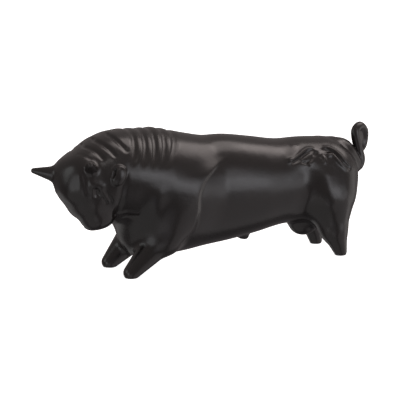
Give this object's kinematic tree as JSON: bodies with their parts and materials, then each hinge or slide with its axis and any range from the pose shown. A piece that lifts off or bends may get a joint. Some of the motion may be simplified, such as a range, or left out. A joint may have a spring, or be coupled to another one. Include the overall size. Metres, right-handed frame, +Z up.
{
  "type": "bull figurine",
  "caption": "Black-brown glazed stoneware bull on short braced legs, neck in pleats, head turned to its left, short horns and a tail looped up over the rump.",
  "frame": {"origin": "middle of the outline seen from above, on the floor under the soles", "axes": "+Z up, +X from head to tail, -Y toward the bull's left side, the side that the head turns to"},
  "size_m": [0.3694, 0.1054, 0.1459],
  "materials": {
    "glaze": "satin black-brown glaze"
  },
  "bodies": {
    "root": {"bull": "glaze"}
  },
  "joints": []
}
